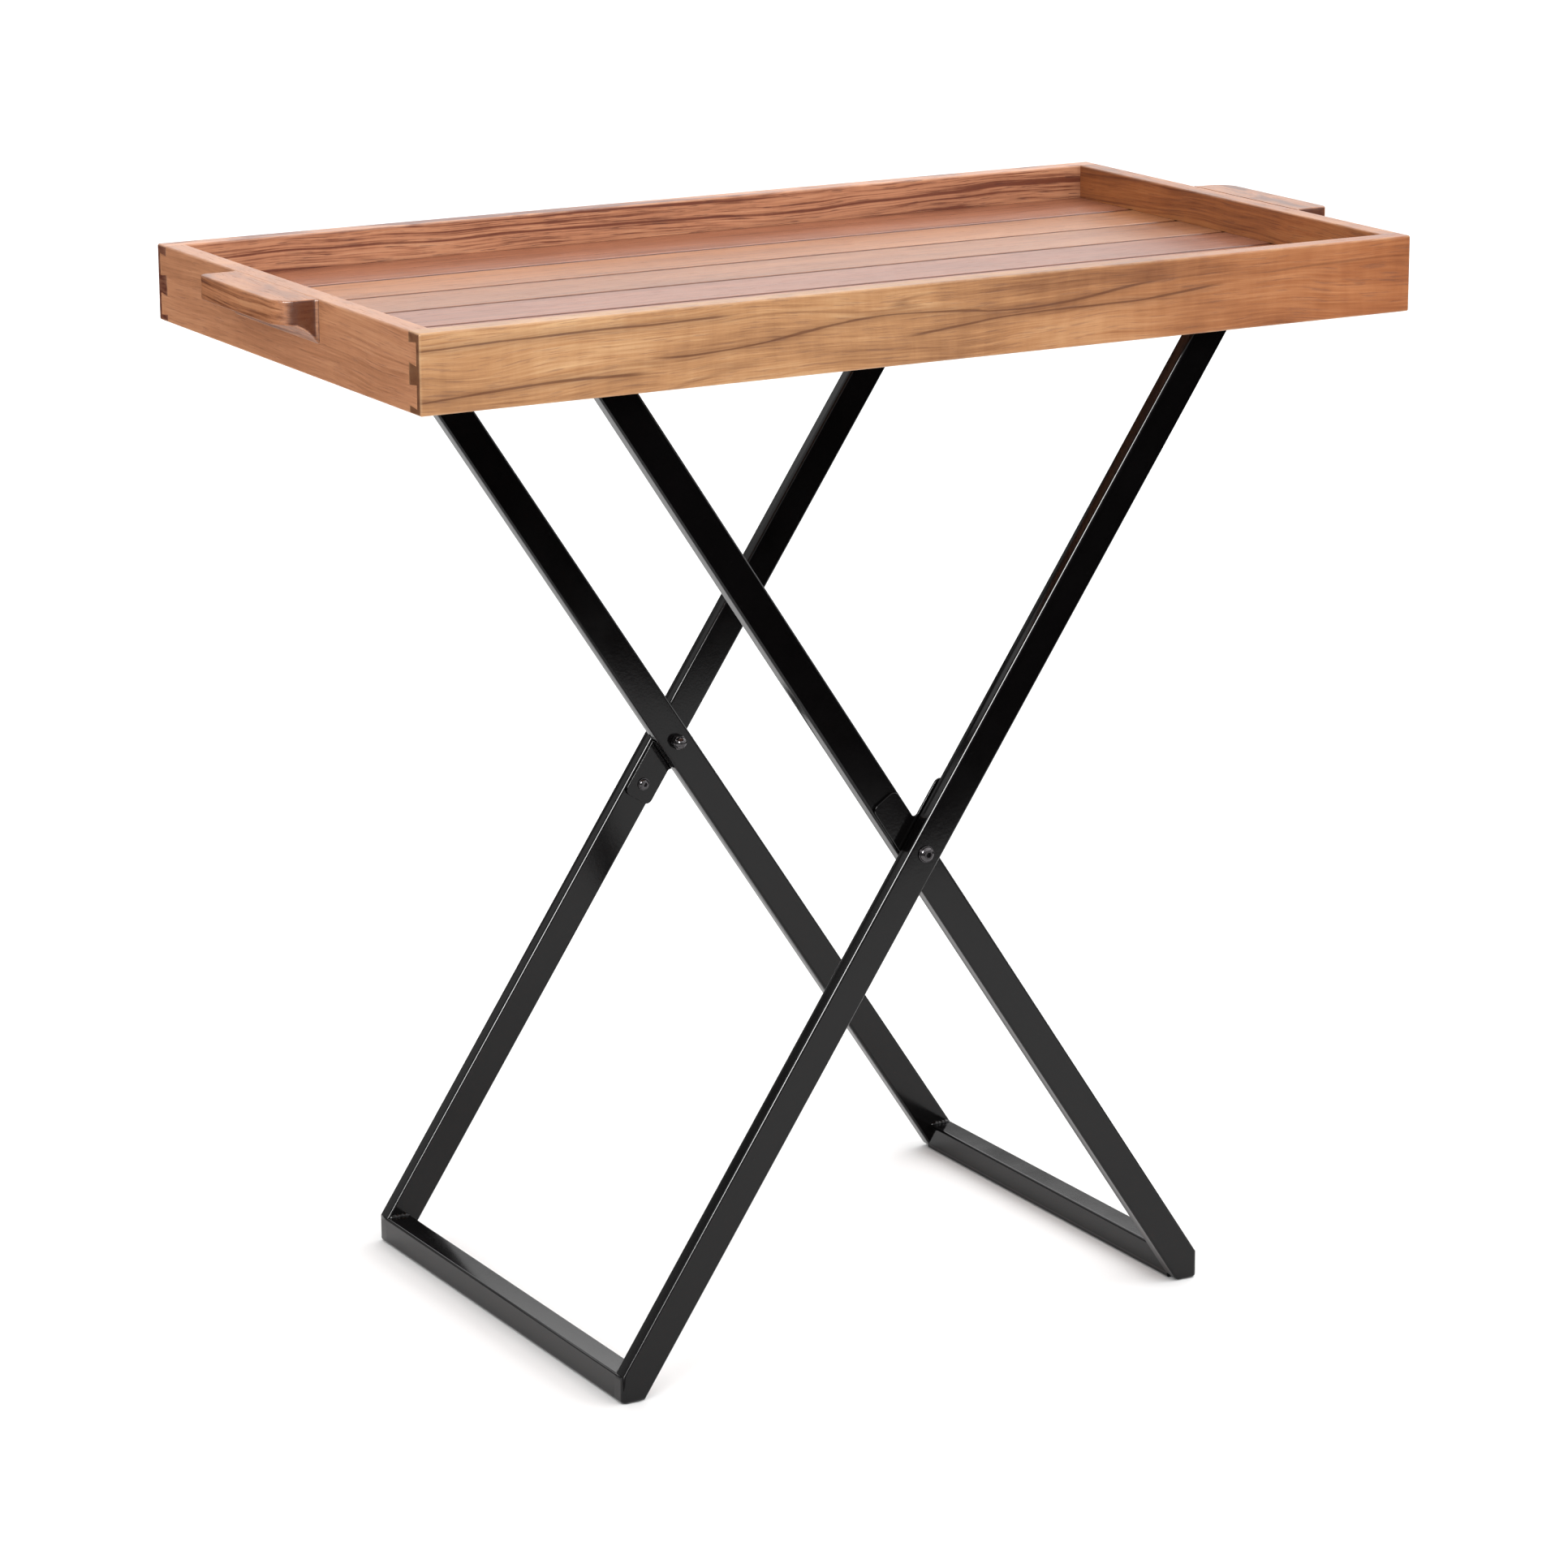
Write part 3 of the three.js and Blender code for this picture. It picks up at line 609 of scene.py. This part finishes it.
FRONT_FIGURE = {"cloud": 0.55, "stripe": 0.06, "ripple": 0.10, "vein": 0.5, "warm": 1.0, "end": 0.8}
BACK_FIGURE = {"cloud": 0.3, "stripe": 0.45, "pores": 0.6, "end": 0.8}
LEFT_FIGURE = {"cloud": 0.35, "vein": 0.05, "stripe": 0.1}
RIGHT_FIGURE = {"cloud": 0.6, "vein": 0.3}
WALLS = (
    ("front_wall", "long", True, "X", LONG_TONES, 1.0, FRONT_FIGURE),
    ("back_wall", "long", False, "X", BACK_TONES, 4.2, BACK_FIGURE),
    ("left_wall", "end", True, "Y", END_TONES, 7.7, LEFT_FIGURE),
    ("right_wall", "end", False, "Y", RIGHT_TONES, 9.1, RIGHT_FIGURE),
)
for node, kind, flip, grain, tones, seed, figure in WALLS:
    low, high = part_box(node)
    streaks = FRONT_LINES if node == "front_wall" else ()
    look = wood(node + "_wood", grain, tones, seed, low, high, lines=streaks, **figure)
    slot_name = "long_wall_wood" if kind == "long" else "end_wall_wood"
    place_piece(make_wall(node, kind, flip), "tray", slot_name, look, node)

# ---------------------------------------------------------------- slats
SLAT_TONES = (
    (colour(112, 62, 42), colour(158, 98, 70), colour(186, 126, 94)),
    (colour(118, 66, 44), colour(166, 104, 72), colour(192, 130, 96)),
    (colour(110, 64, 46), colour(150, 96, 74), colour(180, 124, 98)),
    (colour(116, 70, 46), colour(158, 104, 72), colour(186, 132, 96)),
    (colour(122, 74, 46), colour(172, 114, 76), colour(196, 140, 100)),
    (colour(106, 60, 42), colour(152, 95, 69), colour(180, 121, 92)),
)
for index, tones in enumerate(SLAT_TONES):
    node = f"slat_{index + 1}"
    low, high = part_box(node)
    step = high.z - GROOVE_DEEP
    outline = rounded(
        [
            (low.y, low.z, 0.4 * MM),
            (high.y, low.z, 0.4 * MM),
            (high.y, step, 0),
            (high.y - GROOVE_GAP, step, 0),
            (high.y - GROOVE_GAP, high.z, SLAT_ARRIS),
            (low.y + GROOVE_GAP, high.z, SLAT_ARRIS),
            (low.y + GROOVE_GAP, step, 0),
            (low.y, step, 0),
        ],
        4,
    )
    slat = prism(node + "_board", outline, "x", low.x, high.x)
    seed = 12 + index * 1.37
    look = wood(
        node + "_wood", "X", tones, seed, low, high, cloud=0.3, stripe=0.15, vein=0.05, gloss=0.30,
        relief=0.18, depth=2, painted_groove_shade=True,
    )
    place_piece(slat, "tray", "slat_wood", look, node)


# ---------------------------------------------------------------- battens and their screws
def softened(node, width, segments=2):
    """A copy of a CAD node with its edges eased."""
    piece = bpy.data.objects.new(node + "_soft", NODES[node].data.copy())
    bpy.context.scene.collection.objects.link(piece)
    clean(piece)
    return bevel(piece, width, segments, 40)


BATTEN_TONES = (colour(140, 98, 62), colour(184, 142, 98), colour(206, 170, 126))
zinc = steel("zinc", (0.5, 0.51, 0.53, 1), 0.34)
for index, side in enumerate(("left", "right")):
    node = side + "_batten"
    low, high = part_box(node)
    seed = 31 + index * 2.1
    look = wood(
        node + "_wood", "Y", BATTEN_TONES, seed, low, high, cloud=0.4, vein=0.05, gloss=0.6,
    )
    place_piece(softened(node, 0.5 * MM), "tray", "batten_wood", look, node)
    for number in range(1, 7):
        dress(NODES[f"{side}_batten_screw_{number}"], zinc)


# ---------------------------------------------------------------- handles
def make_handle(node, sign):
    """A grip with rounded outer corners and a sloping cove under its root, flush with the rim."""
    low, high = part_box(node)
    foot = (high.y - low.y) / 2
    neck = foot - HANDLE_FLARE
    middle = sign * (high.y + low.y) / 2
    reach = max(abs(low.x), abs(high.x)) - HALF_L
    buried = 5 * MM
    fillet = HANDLE_FLARE * 1.1
    plan = rounded(
        [
            (-buried, -foot, 0),
            (0.4 * MM, -foot, 0),
            (HANDLE_FLARE, -neck, fillet),
            (reach, -neck, HANDLE_SMALL_CORNER),
            (reach, neck, HANDLE_CORNER),
            (HANDLE_FLARE, neck, fillet),
            (0.4 * MM, foot, 0),
            (-buried, foot, 0),
        ],
        10,
    )
    plan = [(HALF_L + x, middle + y) for x, y in plan]
    grip = prism(node + "_grip", plan, "z", RIM - HANDLE_ROOT, RIM)
    under = RIM - HANDLE_THICK
    root = RIM - HANDLE_ROOT
    start = 0.7 * MM
    side = [(HALF_L - 1, root - 0.1), (HALF_L + start, root - 0.1)]
    steps = 12
    for k in range(steps + 1):
        part = k / steps
        turn = part * math.pi / 2
        across = (part + 1 - math.cos(turn)) / 2
        up = (part + math.sin(turn)) / 2
        side.append((HALF_L + start + (HANDLE_COVE - start) * across, root + (under - root) * up))
    side += [(HALF_L + 1, under), (HALF_L + 1, RIM + 0.1), (HALF_L - 1, RIM + 0.1)]
    boolean(grip, prism("side", side, "y", -1, 1), "INTERSECT")
    remesh = grip.modifiers.new("remesh", "REMESH")
    remesh.mode = "VOXEL"
    remesh.voxel_size = HANDLE_VOXEL
    soften = grip.modifiers.new("soften", "SMOOTH")
    soften.factor = 0.5
    soften.iterations = 10
    bpy.context.view_layer.update()
    bake_modifiers(grip)
    face = HALF_L + 0.05 * MM
    boolean(grip, box("half", (face, -1, 0), (1, 1, 1)), "INTERSECT")
    if sign < 0:
        grip.data.transform(FLIP_X @ FLIP_Y)
    return grip


HANDLE_TONES = (colour(104, 58, 34), colour(172, 113, 76), colour(200, 148, 106))
for node, sign, seed in (("left_handle", -1, 21.3), ("right_handle", 1, 24.9)):
    low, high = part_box(node)
    look = wood(node + "_wood", "Y", HANDLE_TONES, seed, low, high, cloud=0.5, vein=0.1, end=0.85)
    place_piece(make_handle(node, sign), "tray", "handle_wood", look, node)


# ---------------------------------------------------------------- stand frames
def tube(name, half_a, half_b, length, matrix):
    """Rounded rectangular tube along +Z, centred on the origin, then put in place."""
    corners = [(-half_a, -half_b), (half_a, -half_b), (half_a, half_b), (-half_a, half_b)]
    outline = rounded([(a, b, TUBE_ROUND) for a, b in corners], 5)
    solid = prism(name, outline, "z", -length / 2, length / 2)
    solid.data.transform(matrix)
    return solid


def envelope(low_x, high_x, half_y, top):
    """Rounded block that trims the ends of the legs and bars."""
    bm = bmesh.new()
    bmesh.ops.create_cube(bm, size=1)
    for vert in bm.verts:
        vert.co.x = low_x if vert.co.x < 0 else high_x
        vert.co.y = half_y if vert.co.y > 0 else -half_y
        vert.co.z = 0 if vert.co.z < 0 else top
    upright = [e for e in bm.edges if abs(e.verts[0].co.z - e.verts[1].co.z) > 0.1]
    common = {"offset_type": "OFFSET", "profile": 0.5, "affect": "EDGES", "clamp_overlap": False}
    bmesh.ops.bevel(bm, geom=upright, offset=CORNER_ROUND, segments=8, **common)
    level = []
    for edge in bm.edges:
        z0, z1 = (vert.co.z for vert in edge.verts)
        at_end = abs(z0) < 1e-6 or abs(z0 - top) < 1e-6
        if abs(z0 - z1) < 1e-6 and at_end:
            level.append(edge)
    bmesh.ops.bevel(bm, geom=level, offset=END_ROUND, segments=4, **common)
    return make_object("envelope", bm)


def leg_side(low_x, high_x, top, tilt):
    """A leg seen from the side: its ends are cut upright and level, with rounded corners."""
    half = (LEG_WIDTH / 2 + 0.02 * MM) / math.cos(tilt)
    slope = math.tan(tilt)

    def edge_x(z, sign):
        return PIVOT.x + (z - PIVOT.z) * slope + sign * half

    def edge_z(x, sign):
        return PIVOT.z + (x - sign * half - PIVOT.x) / slope

    return rounded(
        [
            (low_x, 0, 0),
            (edge_x(0, 1), 0, LEG_END_ROUND),
            (high_x, edge_z(high_x, 1), LEG_END_ROUND),
            (high_x, top, 0),
            (edge_x(top, -1), top, LEG_END_ROUND),
            (low_x, edge_z(low_x, -1), LEG_END_ROUND),
        ],
        6,
    )


def weld_bead(name, path, radius):
    """A slightly lumpy bead along a straight path, ends closed."""
    start, end = (Vector(point) for point in path)
    along = (end - start).normalized()
    side = along.orthogonal().normalized()
    up = along.cross(side)
    count = max(6, round((end - start).length / (0.8 * MM)))
    bm = bmesh.new()
    rings = []
    for i in range(count + 1):
        part = i / count
        lump = radius * (1 + 0.13 * math.sin(i * 2.1) + 0.07 * math.sin(i * 5.3))
        lump *= min(1.0, 0.35 + 6 * min(part, 1 - part))
        middle = start.lerp(end, part)
        ring = []
        for k in range(10):
            angle = 2 * math.pi * k / 10
            ring.append(bm.verts.new(middle + (side * math.cos(angle) + up * math.sin(angle)) * lump))
        rings.append(ring)
    for one, two in zip(rings, rings[1:]):
        for k in range(10):
            j = (k + 1) % 10
            bm.faces.new((one[k], one[j], two[j], two[k]))
    bm.faces.new(rings[0])
    bm.faces.new(rings[-1])
    return make_object(name, bm)


def make_frame(name, low, high, lean):
    """Two legs, a foot bar and a top bar welded into one piece."""
    outside = high.y
    inside = low.y
    low_x, high_x = (low.x, high.x) if lean > 0 else (-high.x, -low.x)
    tilt = math.atan2(LEG_RUN, PIVOT.z)
    trim = leg_side(low_x, high_x, high.z, tilt)
    welded = None
    for sign in (-1, 1):
        middle = Matrix.Translation((PIVOT.x, sign * (inside + outside) / 2, PIVOT.z))
        place = middle @ Matrix.Rotation(tilt, 4, "Y")
        leg = tube("leg", LEG_WIDTH / 2, (outside - inside) / 2, 1.0, place)
        boolean(leg, prism("trim", trim, "y", -1, 1), "INTERSECT")
        welded = boolean(welded, leg, "UNION") if welded else leg
    reach = inside + 2 * MM
    inset = 0.01 * MM
    foot = (low_x + BAR / 2 + inset, BAR / 2 + inset)
    top = (high_x - BAR / 2 - inset, high.z - BAR / 2 - inset)
    for x, z in (foot, top):
        place = Matrix.Translation((x, 0, z)) @ Matrix.Rotation(math.pi / 2, 4, "X")
        boolean(welded, tube("bar", BAR / 2, BAR / 2, 2 * reach, place), "UNION")
    boolean(welded, envelope(low_x, high_x, outside + inset, high.z), "INTERSECT")
    clean(welded)
    bore = []
    for k in range(48):
        angle = k * math.pi / 24
        bore.append((BOLT_HOLE * math.cos(angle), PIVOT.z + BOLT_HOLE * math.sin(angle)))
    boolean(welded, prism("bore", bore, "y", -1, 1), "DIFFERENCE")
    welded.name = name
    if lean < 0:
        other = mirrored(welded, name + "_welded", FLIP_X)
        bpy.data.objects.remove(welded)
        welded = other
    beads = []
    foot_bead = (low_x + 2 * MM, low_x + BAR - 1 * MM, BAR)
    top_bead = (high_x - BAR + 1 * MM, high_x - 2 * MM, high.z - BAR)
    for sign in (-1, 1):
        y = sign * (inside - 0.1 * MM)
        for x0, x1, z in (foot_bead, top_bead):
            ends = [(lean * x0, y, z), (lean * x1, y, z)]
            beads.append(weld_bead(f"{name}_weld_{len(beads) + 1}", ends, BEAD_RADIUS))
    return welded, beads


black = paint("black_powder_coat", (0.0012, 0.0010, 0.0011, 1), 0.12)
for side, low, high, lean in (("outer", outer_low, outer_high, 1), ("inner", inner_low, inner_high, -1)):
    body = side + "_frame"
    welded, beads = make_frame(side + "_stand_frame", low, high, lean)
    parts = [f"{side}_{part}" for part in ("leg_front", "leg_back", "foot_bar", "top_bar")]
    place_piece(welded, body, "black_paint", black, *parts)
    for bead in beads:
        place_piece(bead, body, "black_paint", black)


# ---------------------------------------------------------------- hardware
def hexagon(across, x, z):
    radius = across / math.sqrt(3)
    return [
        (x + radius * math.cos(k * math.pi / 3), z + radius * math.sin(k * math.pi / 3))
        for k in range(6)
    ]


def make_screw(name, radius, height, shank, length, socket, flange):
    """Button head along +Y with a hexagon socket; the under-face is at 0."""
    rise = height - flange
    dome = []
    for k in range(9):
        angle = k * math.pi / 22
        dome.append((radius * 0.88 * math.cos(angle), flange + rise * math.sin(angle)))
    profile = [(0, -length), (shank * 0.86, -length), (shank, -length + 0.5 * MM)]
    profile += [(shank, 0), (radius, 0)]
    profile += [(radius, flange * 0.7), (radius * 0.97, flange)] + dome
    profile += [(socket * 0.85, height), (0, height)]
    screw = lathe(name, profile)
    return boolean(screw, prism("socket", hexagon(socket, 0, 0), "y", height * 0.3, 1), "DIFFERENCE")


def make_nut(name, across, height, dome):
    """Cap nut pointing to -Y; its bearing face is at 0."""
    nut = prism(name, hexagon(across, 0, 0), "y", -height, 0)
    inner = across / 2
    tip = -height - 0.01 * MM
    chamfer = [
        (0, 1 * MM),
        (inner * 1.04, 1 * MM),
        (inner * 1.16, -0.5 * MM),
        (inner * 1.16, -height + 0.6 * MM),
        (inner * 0.98, tip),
        (0, tip),
    ]
    boolean(nut, lathe("chamfer", chamfer), "INTERSECT")
    radius = inner * 0.94
    profile = [(0, -height + 0.5 * MM), (radius, -height + 0.5 * MM)]
    for k in range(12):
        angle = k * math.pi / 24
        profile.append((radius * math.cos(angle), -height - dome * math.sin(angle)))
    cap = lathe("cap", profile + [(0, -height - dome)])
    return boolean(nut, cap, "UNION")


def put(obj, offset):
    obj.data.transform(Matrix.Translation(offset))
    return obj


black_steel = steel("black_steel", (0.055, 0.052, 0.054, 1), 0.11, 0.9)
bolt_low, bolt_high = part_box("pivot_bolt_back")
head_face = bolt_high.y - HEAD_HEIGHT
bolt = make_screw(
    "pivot_bolt_back_detail", (bolt_high.x - bolt_low.x) / 2, HEAD_HEIGHT, BOLT_SHANK,
    head_face - bolt_low.y, BOLT_SOCKET, BOLT_FLANGE,
)
put(bolt, (0, head_face, PIVOT.z))
nut_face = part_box("pivot_nut_back")[1].y
nut = make_nut("pivot_nut_back_detail", NUT_ACROSS, NUT_HEIGHT, NUT_DOME)
put(nut, (0, nut_face, PIVOT.z))
screw_low, screw_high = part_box("stop_screw_back")
screw = make_screw(
    "stop_screw_detail", STOP_HEAD, STOP_HEIGHT, STOP_SHANK,
    screw_high.y - screw_low.y - STOP_HEIGHT, STOP_SOCKET, STOP_FLANGE,
)
screw = mirrored(screw, "stop_screw_back_detail", FLIP_Y)
bpy.data.objects.remove(bpy.data.objects["stop_screw_detail"])
centre = (screw_low + screw_high) / 2
put(screw, (centre.x, screw_low.y + STOP_HEIGHT, centre.z))
plate = softened("stop_plate_back", 0.35 * MM, 3)

for piece, node, matrix in (
    (bolt, "pivot_bolt", FLIP_Y),
    (nut, "pivot_nut", FLIP_Y),
    (screw, "stop_screw", THROUGH_PIVOT),
):
    twin = mirrored(piece, node + "_front_detail", matrix)
    place_piece(piece, "outer_frame", "black_steel", black_steel, node + "_back")
    place_piece(twin, "outer_frame", "black_steel", black_steel, node + "_front")
twin = mirrored(plate, "stop_plate_front_soft", THROUGH_PIVOT)
place_piece(plate, "outer_frame", "black_paint", black, "stop_plate_back")
place_piece(twin, "outer_frame", "black_paint", black, "stop_plate_front")


# ---------------------------------------------------------------- floor, light and camera
def make_floor(name, outline, top, mirrors):
    """Pale floor. The near part shows in the gloss of the metal and the far part doesn't."""
    floor = prism(name, outline, "z", top - FLOOR_THICK, top)
    t = Tree(bpy.data.materials.new(name + "_pale"))
    values = {"Base Color": (0.9, 0.9, 0.9, 1), "Roughness": 1.0, "Specular IOR Level": 0.0}
    dress(floor, t.finish(values))
    floor.visible_glossy = mirrors


def make_light(name, place, target, size, radiance, gloss_only=False):
    data = bpy.data.lights.new(name, "AREA")
    data.shape = "SQUARE"
    data.size = size
    data.energy = radiance * math.pi * size * size
    lamp = bpy.data.objects.new(name, data)
    lamp.location = place
    lamp.rotation_mode = "QUATERNION"
    lamp.rotation_quaternion = (Vector(target) - Vector(place)).to_track_quat("-Z", "Y")
    lamp.visible_camera = False
    lamp.visible_diffuse = not gloss_only
    bpy.context.scene.collection.objects.link(lamp)


def make_dome():
    """A studio dome, brighter towards +X, with a dark gap between the low sweep and the soft boxes."""
    t = Tree(bpy.data.worlds.new("studio"))
    ray = t.add("ShaderNodeTexCoord").outputs["Generated"]
    way = t.add("ShaderNodeSeparateXYZ", {0: ray}).outputs
    side = t.band(way[0], -0.8, 0.9)
    bright = t.math("MULTIPLY_ADD", side, DOME_BRIGHT - DOME_DIM, DOME_DIM)
    height = t.add("ShaderNodeValToRGB", {0: way[2]})
    stops = height.color_ramp.elements
    stops[0].position = GAP_LOW - GAP_BLUR
    stops[0].color = (SWEEP, SWEEP, SWEEP, 1)
    stops[1].position = GAP_HIGH + GAP_BLUR
    stops[1].color = (1, 1, 1, 1)
    for position in (GAP_LOW, GAP_HIGH):
        stops.new(position).color = (GAP, GAP, GAP, 1)
    above = t.math("GREATER_THAN", way[2], 0.0)
    strength = t.math("MULTIPLY", t.math("MULTIPLY", bright, height.outputs[0]), above)
    shader = t.add("ShaderNodeBackground", {"Color": (1, 1, 1, 1), "Strength": strength})
    output = t.add("ShaderNodeOutputWorld")
    t.tree.links.new(shader.outputs[0], output.inputs[0])
    bpy.context.scene.world = t.holder


disc = []
for k in range(96):
    angle = k * math.pi / 48
    disc.append((NEAR_FLOOR * math.cos(angle), NEAR_FLOOR * math.sin(angle)))
square = [(a * FAR_FLOOR, b * FAR_FLOOR) for a, b in ((-1, -1), (1, -1), (1, 1), (-1, 1))]
make_floor("near_floor", disc, NEAR_TOP, True)
make_floor("far_floor", square, FAR_TOP, False)
make_light("front_box", place=(-2.6, -2.2, 1.9), target=(0, 0, 0.4), size=1.2, radiance=6)
make_light(
    "edge_box", place=(-2.5, -2.0, 2.2), target=(0, 0, 0.3), size=1.5, radiance=35, gloss_only=True,
)
make_dome()
bpy.context.scene.view_settings.view_transform = "Standard"

AZIMUTH = math.radians(-29.43)
ELEVATION = math.radians(14.89)
ROLL = math.radians(-0.24)
DISTANCE = 3.02
LOOK_AT = Vector((-0.041, -0.069, 0.3157))
back = Vector((
    math.sin(AZIMUTH) * math.cos(ELEVATION),
    -math.cos(AZIMUTH) * math.cos(ELEVATION),
    math.sin(ELEVATION),
))
camera_data = bpy.data.cameras.new("camera")
camera_data.sensor_width = 36
camera_data.lens = 122.3
camera = bpy.data.objects.new("camera", camera_data)
camera.location = LOOK_AT + back * DISTANCE
camera.rotation_mode = "QUATERNION"
aim = (-back).to_track_quat("-Z", "Y")
camera.rotation_quaternion = aim @ Matrix.Rotation(ROLL, 4, "Z").to_quaternion()
bpy.context.scene.collection.objects.link(camera)
bpy.context.scene.camera = camera
